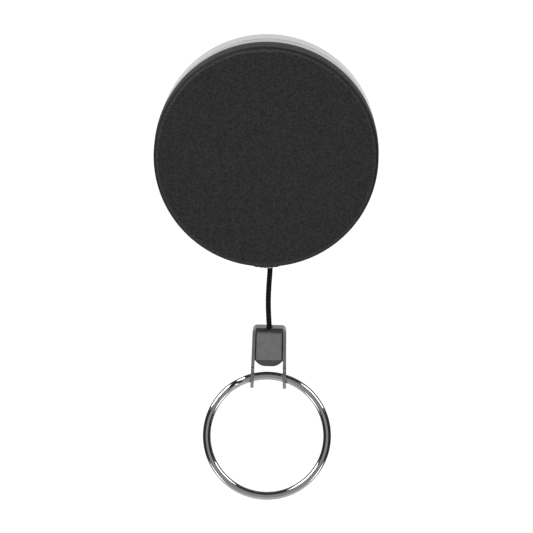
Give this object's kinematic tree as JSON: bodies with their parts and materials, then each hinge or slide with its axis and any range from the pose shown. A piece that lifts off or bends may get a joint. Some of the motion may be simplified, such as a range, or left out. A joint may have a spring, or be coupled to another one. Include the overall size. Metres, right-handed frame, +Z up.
{
  "type": "retractable badge reel",
  "caption": "Round retractable badge reel: sprung cord spool in a black-faced metal case with a belt clip, cord, folded bracket and split key ring.",
  "frame": {"origin": "middle of the belt gap behind the case, on the case's axis", "axes": "+Z up, towards the clip's bend; the case's face looks along -Y; +X to the right as seen from the front"},
  "size_m": [0.042, 0.0245, 0.0877],
  "materials": {
    "black_textured_plastic": "fine-grained black",
    "chromed_shell": "bright chrome",
    "black_acetal": "smooth black",
    "nickel": "nickel plate",
    "turned_steel": "turned",
    "washer_plastic": "natural nylon",
    "spring_steel": "blued spring steel",
    "clip_steel": "plated spring steel",
    "spool_plastic": "moulded dark grey",
    "black_cord": "braided nylon",
    "bracket_steel": "satin plated steel",
    "polished_ring": "polished nickel plate"
  },
  "bodies": {
    "case": {"front_cap": "black_textured_plastic", "rear_shell": "chromed_shell", "cord_nozzle": "black_acetal", "nozzle_eyelet": "nickel", "centre_post": "turned_steel", "front_thrust_washer": "washer_plastic", "rear_thrust_washer": "washer_plastic", "retaining_clip": "spring_steel", "clip_rivets": "nickel", "belt_clip_base": "clip_steel", "cord_run": "black_cord"},
    "clip_tongue": {"belt_clip_tongue": "clip_steel"},
    "spool": {"spool_drum": "spool_plastic", "rear_flange": "spool_plastic", "flange_screws": "turned_steel", "mainspring": "spring_steel", "cord_winding": "black_cord", "cord_anchor_knot": "black_cord"},
    "cord_end": {"cord_end_knot": "black_cord"},
    "bracket": {"ring_bracket": "bracket_steel"},
    "ring": {"split_ring": "polished_ring"}
  },
  "joints": [
    {"name": "clip_flex", "type": "hinge", "parent": "case", "child": "clip_tongue", "pos_m": [0, 0, 0.0164], "axis": [1, 0, 0], "range_deg": [0, 10], "stiffness_Nm_per_rad": 2.8},
    {"name": "spool_spin", "type": "hinge", "parent": "case", "child": "spool", "pos_m": [0, -0.0196, 0], "axis": [0, 1, 0], "range_deg": [0, 2371], "stiffness_Nm_per_rad": 0.0006, "springref_deg": -114.59, "deforming": ["mainspring"]},
    {"name": "cord_pull", "type": "slide", "parent": "case", "child": "cord_end", "axis": [0, 0, -1], "range_m": [0, 0.6003], "deforming": ["cord_run"]},
    {"name": "bracket_swivel", "type": "hinge", "parent": "cord_end", "child": "bracket", "pos_m": [0.00054, -0.011, -0.0345], "axis": [0.0227, 0, 0.9997], "continuous": true},
    {"name": "ring_swing", "type": "hinge", "parent": "bracket", "child": "ring", "pos_m": [0.00032, -0.011, -0.044], "axis": [0.9997, 0, -0.0227], "range_deg": [-131, 149]}
  ],
  "couplings": [
    {"joint": "cord_pull", "follows": "spool_spin", "m_per_rad": 0.0145}
  ]
}
